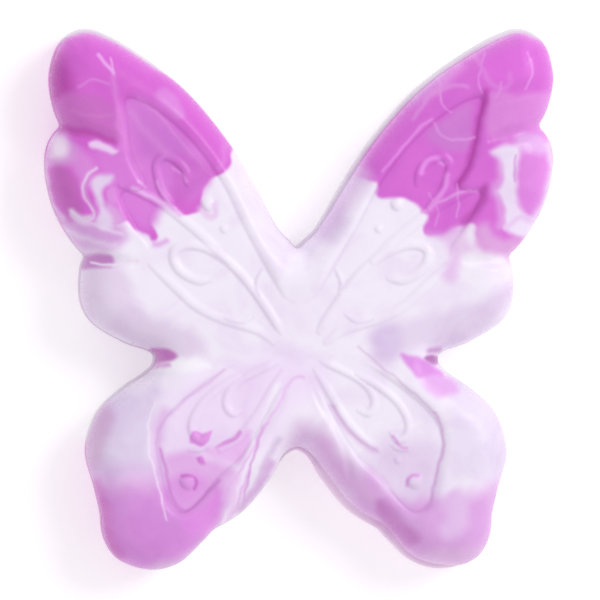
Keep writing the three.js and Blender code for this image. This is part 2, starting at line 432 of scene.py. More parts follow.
def strokeCloud(kind):
    rows = []
    for side in (1, -1):
        for reach, rise, points in design[kind]:
            line = placed(points, side)
            if len(line) > 1:
                line = smoothed(line, design["strokeStep"])
            along = np.arange(len(line)) * design["strokeStep"]
            fromEnd = np.minimum(along, along[-1] - along) if len(line) > 1 else np.array([np.inf])
            swell = np.sqrt(np.clip(fromEnd / design["tapers"][kind], design["leastEnd"], 1))
            rows += [(x, y, reach * math.sqrt(s), rise * s) for (x, y), s in zip(line, swell)]
    rows = np.array(rows)
    cloud = meshObject(kind, np.column_stack([rows[:, :2], np.zeros(len(rows))]) * mm, [])
    storeValues(cloud.data, "reach", rows[:, 2] * mm)
    storeValues(cloud.data, "rise", rows[:, 3] * mm)
    return cloud


def flatFace(name, loops):
    place, faces = [], []
    for loop in loops:
        faces.append(list(range(len(place), len(place) + len(loop))))
        place += [(x * mm, y * mm, 0) for x, y in loop]
    return meshObject(name, place, faces)


relief = {  # the node tree's inputs
    "Wall Top": 7.4 * mm,  # where the shoulder starts
    "Crest": 15 * mm,
    "Shoulder": 6.6 * mm,  # how far in the shoulder ends
    "Roundness": 2.3,  # 2 is a quarter of an ellipse, and more is squarer
    "Panel Depth": 0.75 * mm,
    "Slope": 1.6 * mm,
    "Dish Slope": 8 * mm,
    # width of the painted shade band along a crease
    "Crease Width": 0.42 * mm,
    "Steep Flank": 0.6, "Gentle Flank": 1.3,  # a stroke's reach, lower left and upper right
    "Stroke Blend": 0.15 * mm,  # how two strokes run together
}
gentleSide = (0.8, 0.6, 0)  # the way that a stroke's gentle flank faces
creaseShadeSide = (-0.6, 0.3)  # how far a point faces away from there: full painted shade at a stroke's foot on the side turned from the key light, then none
strokeKinds = {"veins": 1.0, "scrolls": 1.0, "marks": 1.0, "grooves": 2.0}  # how softly the sides end
outlineStep = 0.2  # between the points of a panel's outline
edgeLift = 0.15  # upward share of the surface's direction along the edge
edgeSlack = 0.01 * mm  # how far above the wall a point may be and still lie on the edge


def reliefTree():
    tree = bpy.data.node_groups.new("teetherRelief", "GeometryNodeTree")
    tree.interface.new_socket("Geometry", in_out="INPUT", socket_type="NodeSocketGeometry")
    for name in ("Edge", "Cells", "Dish", *strokeKinds):
        tree.interface.new_socket(name, in_out="INPUT", socket_type="NodeSocketObject")
    for name in relief:
        tree.interface.new_socket(name, in_out="INPUT", socket_type="NodeSocketFloat")
    tree.interface.new_socket("Finish", in_out="INPUT", socket_type="NodeSocketMaterial")
    tree.interface.new_socket("Geometry", in_out="OUTPUT", socket_type="NodeSocketGeometry")
    given = addNode(tree, "NodeGroupInput")
    here = addNode(tree, "GeometryNodeInputPosition")[0]
    shape = {name: addNode(tree, "GeometryNodeObjectInfo", {"Object": given[name]})["Geometry"]
             for name in ("Edge", "Cells", "Dish", *strokeKinds)}

    measured = {"edge": ("Edge", "EDGES"), "cell": ("Cells", "FACES"), "dish": ("Dish", "FACES"),
                "foot": ("Cells", "EDGES")}
    off = {place: addNode(tree, "GeometryNodeProximity", {0: shape[name], "Sample Position": here},
                          target_element=element)["Distance"]
           for place, (name, element) in measured.items()}

    # border: a round shoulder that rises from the edge to the crest
    inward = addNode(tree, "ShaderNodeMapRange", {0: off["edge"], 2: given["Shoulder"], 3: 1.0, 4: 0.0})[0]
    steep = addNode(tree, "ShaderNodeMath", {0: inward, 1: given["Roundness"]}, operation="POWER")
    rest = addNode(tree, "ShaderNodeMath", {0: 1.0, 1: steep[0]}, operation="SUBTRACT")
    root = addNode(tree, "ShaderNodeMath", {0: 1.0, 1: given["Roundness"]}, operation="DIVIDE")
    arc = addNode(tree, "ShaderNodeMath", {0: rest[0], 1: root[0]}, operation="POWER")
    height = addNode(tree, "ShaderNodeMapRange", {0: arc[0], 3: given["Wall Top"], 4: given["Crest"]})[0]

    # panels: a flat floor with a crisp foot, and a slope that rolls over into the border
    near = addNode(tree, "ShaderNodeMapRange", {0: off["cell"], 2: given["Slope"], 3: 1.0, 4: 0.0})
    sink = addNode(tree, "ShaderNodeMath", {0: near[0], 1: 2.0}, operation="POWER")[0]
    bowl = addNode(tree, "ShaderNodeMapRange", {0: off["dish"], 2: given["Dish Slope"], 3: 1.0, 4: 0.0},
                   interpolation_type="SMOOTHSTEP")[0]
    deeper = addNode(tree, "ShaderNodeMath", {0: sink, 1: bowl}, operation="MAXIMUM")[0]
    recess = addNode(tree, "ShaderNodeMath", {0: deeper, 1: given["Panel Depth"]}, operation="MULTIPLY")[0]
    height = addNode(tree, "ShaderNodeMath", {0: height, 1: recess}, operation="SUBTRACT")[0]

    # strokes: each kind takes the profile of the nearest point on one of its lines
    raised, foot = None, None
    for kind, power in strokeKinds.items():
        index = addNode(tree, "GeometryNodeSampleNearest", {0: shape[kind], "Sample Position": here})
        at = addNode(tree, "GeometryNodeSampleIndex", {0: shape[kind], "Value": here, "Index": index[0]},
                     data_type="FLOAT_VECTOR")[0]
        kept = {}
        for name in ("reach", "rise"):
            value = addNode(tree, "GeometryNodeInputNamedAttribute", {"Name": name}, data_type="FLOAT")
            source = {0: shape[kind], "Value": value[0], "Index": index[0]}
            kept[name] = addNode(tree, "GeometryNodeSampleIndex", source, data_type="FLOAT")[0]
        apart = addNode(tree, "ShaderNodeVectorMath", {0: here, 1: at}, operation="DISTANCE")
        way = addNode(tree, "ShaderNodeVectorMath", {0: here, 1: at}, operation="SUBTRACT")[0]
        ahead = addNode(tree, "ShaderNodeVectorMath", {0: way}, operation="NORMALIZE")[0]
        facing = addNode(tree, "ShaderNodeVectorMath", {0: ahead, 1: gentleSide},
                         operation="DOT_PRODUCT")["Value"]
        flank = addNode(tree, "ShaderNodeMapRange",
                        {0: facing, 1: -1.0, 3: given["Steep Flank"], 4: given["Gentle Flank"]})[0]
        reach = addNode(tree, "ShaderNodeMath", {0: kept["reach"], 1: flank}, operation="MULTIPLY")
        share = addNode(tree, "ShaderNodeMath", {0: apart["Value"], 1: reach[0]},
                        operation="DIVIDE", use_clamp=True)[0]
        square = addNode(tree, "ShaderNodeMath", {0: share, 1: share}, operation="MULTIPLY")[0]
        drop = addNode(tree, "ShaderNodeMath", {0: 1.0, 1: square}, operation="SUBTRACT")[0]
        profile = addNode(tree, "ShaderNodeMath", {0: drop, 1: power}, operation="POWER")[0]
        lift = addNode(tree, "ShaderNodeMath", {0: profile, 1: kept["rise"]}, operation="MULTIPLY")[0]
        if kind == "grooves":
            height = addNode(tree, "ShaderNodeMath", {0: height, 1: lift}, operation="ADD")[0]
            continue
        # painted shade along the stroke's foot, on the side turned away from the key light
        past = addNode(tree, "ShaderNodeMath", {0: apart["Value"], 1: reach[0]}, operation="SUBTRACT")[0]
        offFoot = addNode(tree, "ShaderNodeMath", {0: past}, operation="ABSOLUTE")[0]
        deep = addNode(tree, "ShaderNodeMapRange",
                       {0: facing, 1: creaseShadeSide[0], 2: creaseShadeSide[1], 3: 1.0, 4: 0.0})[0]
        line = addNode(tree, "ShaderNodeMapRange", {0: offFoot, 2: given["Crease Width"], 3: deep, 4: 0.0},
                       interpolation_type="SMOOTHSTEP")[0]
        if raised is None:
            raised, foot = lift, line
        else:
            raised = addNode(tree, "ShaderNodeMath", {0: raised, 1: lift, 2: given["Stroke Blend"]},
                             operation="SMOOTH_MAX")[0]
            foot = addNode(tree, "ShaderNodeMath", {0: foot, 1: line}, operation="MAXIMUM")[0]
    height = addNode(tree, "ShaderNodeMath", {0: height, 1: raised}, operation="ADD")[0]

    # creases: painted shade at the foot of a panel or of a raised stroke, stored as a mask that darkens the
    # colour there
    cellFoot = addNode(tree, "ShaderNodeMapRange",
                       {0: off["foot"], 2: given["Crease Width"], 3: 1.0, 4: 0.0},
                       interpolation_type="SMOOTHSTEP")[0]
    flush = addNode(tree, "ShaderNodeMath", {0: 1.0, 1: bowl}, operation="SUBTRACT")[0]
    stepped = addNode(tree, "ShaderNodeMath", {0: cellFoot, 1: flush}, operation="MULTIPLY")[0]
    crease = addNode(tree, "ShaderNodeMath", {0: stepped, 1: foot}, operation="MAXIMUM")[0]

    split = addNode(tree, "ShaderNodeSeparateXYZ", {0: here})
    lifted = addNode(tree, "ShaderNodeCombineXYZ", {0: split[0], 1: split[1], 2: height})[0]
    marked = addNode(tree, "GeometryNodeStoreNamedAttribute",
                     {"Geometry": given["Geometry"], "Name": "crease", "Value": crease},
                     data_type="FLOAT", domain="POINT")
    moved = addNode(tree, "GeometryNodeSetPosition", {0: marked[0], "Position": lifted})
    real = addNode(tree, "GeometryNodeRealizeInstances", {0: moved[0]})
    finished = addNode(tree, "GeometryNodeSetMaterial", {0: real[0], "Material": given["Finish"]})
    addNode(tree, "NodeGroupOutput", {0: finished[0]})
    return tree


def applyTree(subject, tree, values):
    modifier = subject.modifiers.new("relief", "NODES")
    modifier.node_group = tree
    for socket in tree.interface.items_tree:
        if socket.in_out == "INPUT" and socket.name in values:
            modifier[socket.identifier] = values[socket.name]
    bpy.context.view_layer.update()
    evaluated = subject.evaluated_get(bpy.context.evaluated_depsgraph_get())
    result = bpy.data.meshes.new_from_object(evaluated)
    subject.modifiers.remove(modifier)
    return result


def surfaceNormals(place, triangles):
    a, b, c = (place[triangles[:, k]] for k in range(3))
    flat = np.cross(b - a, c - a)
    for _ in range(3):  # each pass shares the normals between neighbours
        normals = np.zeros_like(place)
        for k in range(3):
            np.add.at(normals, triangles[:, k], flat)
        normals = unit(normals)
        flat = unit(normals[triangles].sum(axis=1))
    return normals


def reliefSheet(finish):
    seams = [pourEdge(name) for name in pours]
    points = gridPoints(faceLoop, sheetGrid["face"], sheetGrid["rings"], np.vstack(seams))
    flat, triangles, areas = triangulated(faceLoop, points, seams)
    sheet = meshObject("flatFace", np.column_stack([flat, np.zeros(len(flat))]) * mm, triangles.tolist())
    helpers = {"Edge": flatFace("edgeLine", [faceLoop])}
    sides = {"Cells": design["cells"], "Dish": [design["dish"]]}
    for name, loops in sides.items():
        helpers[name] = flatFace(name, [smoothed(placed(loop, side), outlineStep, True)
                                        for side in (1, -1) for loop in loops])
    helpers.update({kind: strokeCloud(kind) for kind in strokeKinds})
    values = {**relief, **helpers, "Finish": finish}
    mesh = applyTree(sheet, reliefTree(), values)
    place = np.zeros(len(mesh.vertices) * 3, np.float32)
    mesh.vertices.foreach_get("co", place)
    crease = np.zeros(len(mesh.vertices), np.float32)
    mesh.attributes["crease"].data.foreach_get("value", crease)
    for helper in (sheet, *helpers.values()):
        bpy.data.objects.remove(helper)
    place = place.reshape(-1, 3).astype(float)
    normals = surfaceNormals(place, triangles)
    edge = np.flatnonzero(place[:, 2] < relief["Wall Top"] + edgeSlack)
    outward = outwardNormals(faceLoop)[nearestTo(place[edge, :2] / mm, faceLoop)[1]]
    normals[edge] = unit(np.column_stack([outward, np.full(len(edge), edgeLift)]))
    return {"place": place, "triangles": triangles, "areas": areas, "crease": crease, "normals": normals}


def pool(colour, soft, points, cover=1.0):
    return {"colour": colour, "soft": soft, "points": points, "cover": cover, "width": None}


def stream(colour, width, soft, points, cover=1.0):
    return {"colour": colour, "soft": soft, "points": points, "cover": cover, "width": width}


def smoothStep(values):
    t = np.clip(values, 0, 1)
    return t * t * (3 - 2 * t)


def painted(points, ground, coats):
    # lays one coat after another; a pool fills its outline, and a stream follows its line
    wander = marbling["wander"]
    turn = wander["turn"]
    x, y = points.T
    bent = points + wander["far"] * np.column_stack([
        np.sin(turn * a + sway * np.sin(slow * b)) + wander["ripple"] * np.sin(quick * turn * a + way * b)
        for a, b, (sway, slow, quick, way) in ((y, x, wander["across"]), (x, y, wander["along"]))])
    colours = np.tile(srgb(ground), (len(points), 1))
    for coat in coats:
        closed = coat["width"] is None
        line = smoothed(coat["points"], marbling["coatStep"], closed)
        margin = coat["soft"] + (coat["width"] or 0)
        close = np.all((bent > line.min(0) - margin) & (bent < line.max(0) + margin), axis=1)
        near = bent[close]
        apart = distanceTo(near, line, closed)
        if closed:
            apart[insideOf(near, line)] *= -1
            cover = smoothStep(0.5 - apart / coat["soft"])
        else:
            cover = smoothStep((coat["width"] + coat["soft"] / 2 - apart) / coat["soft"])
        cover = (cover * coat["cover"])[:, None]
        colours[close] += (srgb(coat["colour"]) - colours[close]) * cover
    return linear(colours)


def castSolid(name, sheet, area, rows, material, faceDown=False):
    # closes part of a sheet into a solid: its border goes down row by row, each shifted outwards,
    # and ends in a flat seat
    used, local = np.unique(sheet["triangles"][sheet["areas"] == area], return_inverse=True)
    local = local.reshape(-1, 3)
    top = sheet["place"][used]
    count = len(used)
    edges = np.vstack([local[:, [0, 1]], local[:, [1, 2]], local[:, [2, 0]]]).astype(np.int64)
    onward = dict(edges[~np.isin(edges @ (count, 1), edges[:, ::-1] @ (count, 1))].tolist())
    border = list(onward)
    after = {v: i for i, v in enumerate(border)}
    run = top[[onward[v] for v in border]] - top[border]
    out = unit(np.column_stack([run[:, 1], -run[:, 0], np.zeros(len(run))]))
    before = np.zeros_like(out)
    before[[after[onward[v]] for v in border]] = out
    out = unit(out + before)
    place, faces, last = [top], local.tolist(), border
    for row, (shift, height) in enumerate(rows):
        ring = top[border] + out * shift
        ring[:, 2] = height
        place.append(ring)
        here = [count + row * len(border) + i for i in range(len(border))]
        for i, v in enumerate(border):
            k = after[onward[v]]
            faces.append((last[k], last[i], here[i], here[k]))
        last = here
    waiting = set(border)
    while waiting:
        step, loop = min(waiting), []
        while step in waiting:
            waiting.discard(step)
            loop.append(last[after[step]])
            step = onward[step]
        faces.append(loop[::-1])
    place = np.vstack(place)
    if faceDown:
        place[:, 2] = rim["thickness"] * mm - place[:, 2]
        faces = [list(face)[::-1] for face in faces]
    solid = meshObject(name, place, faces, material)
    mesh = solid.data
    mesh.polygons.foreach_set("use_smooth", np.ones(len(mesh.polygons), bool))
    if not faceDown:  # neighbouring pours share their normals, so no seam shows in the gloss
        loops = sheet["normals"][used][local.ravel()].tolist()
        for i, v in enumerate(border):
            k = after[onward[v]]
            loops += [out[k], out[i], out[i], out[k]]
        loops += [(0, 0, -1)] * (len(mesh.loops) - len(loops))
        mesh.normals_split_custom_set(loops)
    rimRows = [sheet["shades"][used][border]] * len(rows)
    tints = np.vstack([sheet["shades"][used], *rimRows])
    pigment = np.column_stack([tints, np.ones(len(tints))]).astype(np.float32)
    mesh.color_attributes.new("pour", "FLOAT_COLOR", "POINT").data.foreach_set("color", pigment.ravel())
    onFace = np.arange(len(place)) < count
    # the painted crease shade mask, on the face's points only
    foot = np.zeros(len(place))
    foot[onFace] = sheet["crease"][used]
    storeValues(mesh, "crease", foot)
    storeValues(mesh, "polish", onFace)
    return solid


# Colour: pools and streams in millimetres on the face, each over the ones before it; most are pigment, some
# painted shade or painted highlights

marbling = {
    "wander": {  # how far the edge of a pour wanders, how often, and its ripple
        "far": 0.12, "turn": 1.15, "ripple": 0.5,
        "across": (1.7, 0.6, 2.3, 1), "along": (1.3, 0.7, 2.1, -1),  # sway, slow, quick, way
    },
    "coatStep": 0.5,  # between the points of a coat's line
    "milk": "#F1E9F8",
}
coats = [
    # milk
    pool("#EFDBF7", 7, [(-21, -15), (-12, -11), (-3, -9), (3, -11.4), (3, -14), (-2, -18), (-6, -24),
        (-14, -27), (-22, -25)]),
    # painted shadow: grey-lilac beside the upper right wing's leading edge
    stream("#DCCDE8", 1.4, 3, [(5, 15.5), (6.3, 13.2), (4.6, 11)], 0.8),
    pool("#E3D2EA", 3, [(-42, 9), (-33, 9), (-29, 4), (-26, -2), (-18, -5), (-16, -9), (-24, -9),
        (-37, -2)]),
    pool("#E4D3EC", 3, [(37, 4), (30, 0), (22, -2), (15, -4), (11, -6), (13, -10), (20, -8), (30, -6)]),
    pool("#D9C4E8", 2.5, [(12, -5), (15.5, -4.4), (16.5, -7), (15.4, -9.6), (12.4, -9)], 0.8),
    # painted highlight: near-white on the lit side below the right notch groove
    pool("#F6F0FB", 1.6, [(25.5, 6.6), (29, 6.4), (34, 5.6), (34, 3.5), (29, 2.4), (26, 3.4)]),
    pool("#F5F0FA", 1.5, [(-26, -10), (-18, -9.6), (-15, -11), (-20, -11.8), (-25.6, -11.4)]),
    # painted shade: pinkish-lilac under the right notch
    stream("#E6B9EA", 1.1, 2.4, [(24.6, 10), (25.4, 7), (24.4, 4)], 0.7),
    # upper left wing
    pool("#D667D2", 0.7, [(-46, 48), (-28, 48), (-9, 28), (-11.3, 24.6), (-11.8, 22.4), (-13.2, 20.9),
        (-15.3, 20.1), (-16.4, 18.2), (-16.6, 16.2), (-17.2, 14.6), (-19.2, 14.2), (-20.8, 14.8),
        (-22.2, 15.7), (-23.8, 16.8), (-25, 15.8), (-25.2, 14), (-24.6, 12), (-24, 10.2), (-24.9, 9.8),
        (-25.8, 11.1), (-27.6, 11.9), (-29.2, 13), (-31, 12.6), (-34, 12), (-38.6, 12.6), (-41, 12.4),
        (-46, 18)]),
    pool("#D6A2DC", 2.4, [(-40, 13.6), (-35, 13), (-31.5, 13), (-29.5, 12), (-29, 10.3), (-31, 8.8),
        (-34, 8.5), (-38, 9.5)]),
    pool("#DDA3E0", 1.4, [(-32.4, 16.2), (-31, 15.8), (-29.9, 14.6), (-29.6, 13), (-31, 12.6),
        (-32.6, 13.4)]),
    pool("#DB7FDC", 3, [(-34.6, 27), (-31, 29), (-29, 33), (-25, 33), (-19, 27), (-15, 22.6), (-17.4, 17),
        (-22, 17), (-25, 12), (-28, 13), (-33, 20)]),
    # darker violet at the far left: deeper pigment, and painted shade on the shoulder facing away from the
    # key light
    pool("#BE4AB2", 3.4, [(-44, 41), (-40.6, 41), (-38.6, 38.4), (-38, 35), (-38.6, 31.4), (-44, 30)]),
    pool("#CC6DC6", 2, [(-40.2, 33.5), (-36, 34.2), (-33, 33.2), (-30.6, 31), (-30.4, 27), (-35, 27.8),
        (-41, 28.4)]),
    # painted shade: the dark north side of the upper left notch groove
    stream("#C254B6", 0.6, 1.1, [(-41, 28.9), (-37.5, 28.1), (-34.5, 27.4), (-31.2, 26.3)]),
    # painted highlight: a pale glint on the lit south side of that groove
    pool("#F3E0F7", 0.8, [(-35.3, 26.2), (-33.6, 26.2), (-31.4, 25.2), (-30.5, 24.8), (-31.5, 24.2),
        (-33.4, 24.9), (-34.8, 25.2)], 0.85),
    pool("#D987D9", 2, [(-39, 26), (-36, 25), (-34.4, 22.4), (-34.8, 19), (-36.6, 18.6), (-37.8, 22)]),
    pool("#D99BDC", 2, [(-42, 27), (-39, 27.6), (-37.6, 25), (-38, 22.6), (-42, 22.2)]),
    pool("#F1DEF4", 1.8, [(-41.3, 26.6), (-40, 27.2), (-38.9, 26.4), (-38.8, 24.4), (-40, 23.4),
        (-41.4, 24.2)]),
    pool("#C768C0", 1.6, [(-41.4, 21.4), (-39.4, 22), (-37.4, 20), (-36.6, 17), (-36.4, 14.6),
        (-38.5, 13.4), (-40.2, 16), (-41.4, 18.5)]),
    stream("#DDB2E0", 0.3, 0.8, [(-42.4, 24), (-42, 19.5), (-40.9, 15.8), (-39.4, 13.2)]),
    pool("#E3CDEC", 1.3, [(-34.9, 19.6), (-34, 20.6), (-32.4, 21), (-31.4, 20.6), (-31.6, 19.5),
        (-32.6, 18.9), (-33, 17.4), (-32.7, 15.6), (-31.6, 14), (-31.2, 12.2), (-33, 11.8), (-34, 12.8),
        (-33.6, 14.8), (-34.3, 16.6), (-34.7, 18.4)]),
    stream("#DDC4E4", 0.5, 1, [(-38, 14.6), (-36.6, 13.7), (-35, 13.8)]),
    stream("#EAD8F1", 0.2, 1.2, [(-38.2, 14), (-36.4, 12.9), (-34, 12.4), (-31.6, 11.6), (-29.6, 10.8)]),
    stream("#E7D6EF", 0.4, 1.6, [(-38.6, 11.6), (-36.4, 10.4), (-34, 9.6), (-31, 9.2)], 0.8),
    stream("#EAD3F0", 0.2, 0.8, [(-34.2, 21.8), (-35.6, 20.6), (-36.2, 18.8), (-35.9, 17), (-35, 15.6),
        (-34.3, 14.4), (-34.5, 13.4), (-36, 13.2), (-37.2, 14), (-38, 14.6)]),
    stream("#C98FCC", 0.1, 0.3, [(-35.3, 20), (-35.7, 18.5), (-35.3, 16.8), (-34.4, 15.2), (-33.9, 13.8)]),
    pool("#DE8FDE", 0.7, [(-32.2, 18.2), (-31.2, 18.9), (-30.6, 17.5), (-30.9, 16), (-32.2, 16.2)]),
    # painted shade in the groove by the middle left notch
    pool("#C98CCC", 0.9, [(-37, 7.4), (-34, 7.6), (-31.3, 7.4), (-31.4, 5.7), (-34, 5.3), (-37, 5.4)]),
    stream("#EFE2F3", 0.2, 0.4, [(-34.8, 6.2), (-32.6, 5.8), (-30.6, 6.1), (-28.6, 6.5), (-27, 6.4)]),
    pool("#D983DA", 1.4, [(-24.3, 34.6), (-22.6, 35), (-21, 34), (-19.7, 32), (-19.6, 30.2), (-20.8, 30.2),
        (-22.4, 31.4), (-24, 33)]),
    stream("#E08BE0", 0.5, 1.6, [(-12.8, 25.4), (-12.8, 23.4), (-13.8, 21.8)], 0.6),
    pool("#D078D4", 3, [(-28, 32), (-25, 31), (-21, 27.6), (-19.4, 25.6), (-20.6, 23.6), (-24.5, 23),
        (-27.2, 26), (-28.3, 29.5)]),
    stream("#DE86DB", 0.3, 1.4, [(-31.4, 37), (-30.6, 33), (-30.4, 29), (-28.6, 25.6), (-26.6, 22)]),
    stream("#DF8ADD", 0.15, 0.8, [(-37, 35.4), (-34.4, 36.4), (-32, 35.8)]),
    stream("#D07BCB", 0.15, 1, [(-38, 31.4), (-34.6, 30.4), (-31.6, 30.8)]),
    stream("#DD8EDD", 0.4, 1.8, [(-28.2, 31), (-25.4, 27.4), (-22.4, 24.4)], 0.7),
    stream("#E092E0", 0.15, 0.8, [(-27, 33.4), (-23, 30), (-19, 25), (-15, 20.6)], 0.8),
    pool("#C861C4", 2.2, [(-21, 24), (-17, 23), (-14.6, 21.4), (-16, 19.6), (-18.6, 17), (-21, 16.6)], 0.5),
    # painted highlight: a V-shaped glint near the top of the left tip
    stream("#E8A6EA", 0.3, 0.6, [(-33.6, 40.4), (-32.2, 38.9), (-31.3, 37.6)]),
    stream("#E8B0EC", 0.12, 0.4, [(-31.6, 40.2), (-31.3, 39), (-31.2, 38)]),
    stream("#E9A6EC", 0.2, 0.7, [(-23.9, 19.5), (-23.2, 17.8), (-22.2, 16.3), (-21, 15.2)]),
    stream("#E394E6", 0.2, 0.6, [(-21.5, 22), (-19.9, 20.8), (-19.2, 19.5)]),
    # painted highlight: pale pink streaks along the left vein's ridge
    stream("#EBB8EF", 0.4, 1, [(-28, 18.5), (-26, 17.8), (-24, 16.6), (-22, 15.3), (-20.5, 14.4)]),
    stream("#E9ABEB", 0.25, 0.6, [(-27.2, 19.8), (-26, 18.9)]),
    stream("#E7C0ED", 0.5, 1.2, [(-16.9, 15), (-15.6, 14), (-14.4, 14.2), (-14.6, 16)], 0.7),
    stream("#E3A5E6", 0.4, 1.2, [(-24.4, 9.3), (-23.4, 9.2), (-22.6, 9.8)], 0.8),
    # upper right wing
    pool("#D76CD5", 0.9, [(46, 48), (28, 48), (10, 32), (5, 21), (8.6, 20.6), (10.8, 20), (12.3, 19.4),
        (12.4, 17.5), (14, 16.9), (16.3, 16.9), (18, 16.4), (19.4, 15.4), (20, 14.6), (20.9, 13.6),
        (20.2, 12), (20.2, 10.9), (22.5, 10.8), (24.5, 11.2), (26.3, 12.2), (27.5, 12.9), (28.6, 12.4),
        (28.8, 10.8), (30, 9.6), (32, 9), (34, 8), (36, 7.4), (46, 8)]),
    pool("#E2C3EA", 5, [(0, 12), (3, 19), (6, 24), (9, 24), (10.4, 20.6), (9.4, 18.4), (7, 15), (4, 11)]),
    pool("#DC87DA", 1.8, [(31, 34), (36, 34), (42, 34), (42, 28), (36, 27.6), (31, 26.4)]),
    pool("#E070DD", 2.4, [(31.5, 41), (37, 41.6), (38.4, 38.6), (35.5, 36), (31, 36.4), (29.8, 38.6)]),
    pool("#CF7CD2", 2, [(20.5, 27.4), (24, 30.4), (27.8, 32.4), (28, 28), (27.6, 25), (25, 24.6),
        (22, 25.6)]),
    # painted shade: the dark slope into the right upper cell, facing away from the key light
    stream("#C04EB6", 0.5, 1.3, [(30.4, 34.5), (29.7, 31.5), (28.9, 28), (28.3, 24.8), (27.2, 21.5),
        (25.6, 19)]),
    stream("#C257BB", 0.6, 1.4, [(30.4, 18.6), (29.8, 16.8), (28.6, 14.8), (26.8, 12.9)]),
    stream("#D68ADB", 1, 2.4, [(18.5, 33.5), (21.4, 35.4), (24, 37.2)]),
    pool("#DF88DF", 1.6, [(33, 27), (37, 28), (41, 27), (43, 24), (42.6, 18), (40, 12.6), (37.4, 9),
        (35, 11), (34, 16), (34, 22)]),
    pool("#E3B0E9", 1.8, [(35.4, 27), (38.6, 27.6), (41, 26), (40, 24.2), (37.6, 24.4), (36, 24.8)]),
    stream("#E6CDEF", 0.5, 1.8, [(41, 25.6), (41.6, 22), (41, 18.4), (39.8, 15), (38, 12.4)]),
    stream("#E2A4E5", 0.4, 2, [(32.2, 24.4), (32.8, 22), (32.3, 19.6), (31.7, 18.4), (32.4, 16.6),
        (32.7, 14.4), (32.7, 12.2)]),
    # a pale streak of pigment; its top end by the notch is a painted glint
    pool("#ECDCF4", 1.5, [(31.2, 24.6), (33.4, 25.6), (35.6, 25.6), (35.9, 23), (35.4, 20.4), (35.7, 17),
        (36.2, 15), (37.4, 13.8), (39.6, 13.2), (39, 11.6), (37, 10), (35.6, 10.4), (33.9, 11.6),
        (33.3, 13), (33.4, 15), (33, 16.6), (32.1, 18), (32.8, 19.2), (33.2, 21.6), (32.6, 23.2)]),
    stream("#D493D8", 0.1, 0.6, [(35.2, 24), (35.2, 21.6), (35, 19.6)]),
    stream("#E7C9EF", 0.5, 1, [(33.8, 12.2), (36, 13.6), (38.6, 13)]),
    pool("#DA8FD6", 1.6, [(29, 11.4), (30.5, 9.4), (33, 9.2), (35.2, 10.2), (36.8, 10), (35.6, 7),
        (33, 6.3), (31.4, 7.6), (29, 9.4)]),
    pool("#E8C9EC", 2.4, [(24.6, 11.2), (26.4, 11), (27.8, 9.6), (30.6, 7.2), (31, 5.4), (26, 8)]),
    pool("#DEA3DE", 2.6, [(28.6, 12), (30.6, 12.6), (32, 10.8), (35.4, 9.6), (36, 6.6), (32.6, 6.8),
        (29.4, 9)]),
    # painted highlight: near-white on the lit side below the right notch groove
    pool("#F4EDF9", 2, [(27.4, 7.6), (30, 7.8), (34.6, 6.8), (35.4, 4.4), (30, 3.4), (27, 4.6)]),
    stream("#DEA9E3", 0.3, 3.4, [(4.6, 22.8), (8, 21.4), (11, 20.6)], 0.85),
    stream("#DDA2E2", 0.3, 2.4, [(21, 11), (23, 10.8), (25, 11.2), (26.6, 11.8)], 0.9),
    stream("#E99BEA", 0.12, 0.45, [(22.9, 37), (22.9, 34.6), (23.2, 32.6), (24.6, 31)]),
    stream("#E692E8", 0.12, 0.45, [(30.6, 41), (29.6, 38.6), (29.2, 36.2), (29.8, 34.4)]),
    stream("#E284E0", 0.3, 1.2, [(29, 40.4), (30.4, 36.8), (32.4, 35), (34, 35.6), (34.4, 37.4)]),
    stream("#E28CE2", 0.5, 1.6, [(20.6, 33), (23.6, 36), (26.4, 38.6)], 0.8),
    stream("#DE90DF", 0.25, 1, [(18.6, 30), (21, 33.4), (24.6, 35.4), (27.4, 35.2)]),
    stream("#E19BE2", 0.12, 0.7, [(21.8, 29.4), (23.4, 27.2), (26, 26.4), (28.4, 27)]),
    stream("#DE8BDD", 0.12, 0.8, [(31.6, 32.2), (35, 33), (38.6, 33.8)]),
    # painted highlight along the right vein's ridge
    stream("#E6B2E8", 0.12, 0.9, [(20, 14.6), (22.6, 16.2), (26.4, 17.8), (29, 18.2)]),
    stream("#DE92DF", 0.1, 0.7, [(21, 17.6), (22.4, 14.8), (22, 12.4)]),
    stream("#E5A0E6", 0.1, 0.6, [(25.6, 19), (25.9, 16.4), (25.4, 13.6)]),
    stream("#E99BEC", 0.14, 0.5, [(37.4, 40.8), (38, 38.8), (37.8, 36.6), (37, 34.8)]),
    stream("#E493E6", 0.14, 0.5, [(32.8, 36), (32.6, 34.6), (32.2, 33.4)]),
    stream("#E88FEA", 0.4, 0.8, [(19.6, 21), (20.4, 22.8), (22.2, 23.4), (23.6, 22.6)]),
    stream("#E492E6", 0.4, 0.9, [(24, 20.6), (23.4, 18.4), (22.2, 16.4), (20.8, 14.8)]),
    # painted highlight along the top of the step into the right upper cell
    stream("#E590E6", 0.2, 0.6, [(13.4, 21.2), (15.4, 23.6), (18.2, 27.2), (21.4, 30)]),
    # lower left wing
    pool("#E0D1EC", 3, [(-38, -10), (-30, -15), (-24, -14.4), (-24.6, -19), (-25.4, -24), (-25, -28),
        (-30, -29), (-38, -28)]),
    pool("#D5B3D8", 2.6, [(-38, -17), (-33, -16.6), (-31, -19), (-32.4, -23), (-34, -28), (-38, -28)]),
    pool("#D994DE", 9, [(-44, -29.8), (-34, -29.8), (-26, -29.2), (-20, -28.6), (-12.6, -29.4),
        (-12.6, -34), (-12.6, -38), (-8, -54), (-44, -54)]),
    pool("#D68CDA", 4, [(-38, -36), (-30, -35.6), (-24.6, -36), (-22, -38), (-16, -37.6), (-14, -40),
        (-14, -48), (-40, -48)], 0.8),
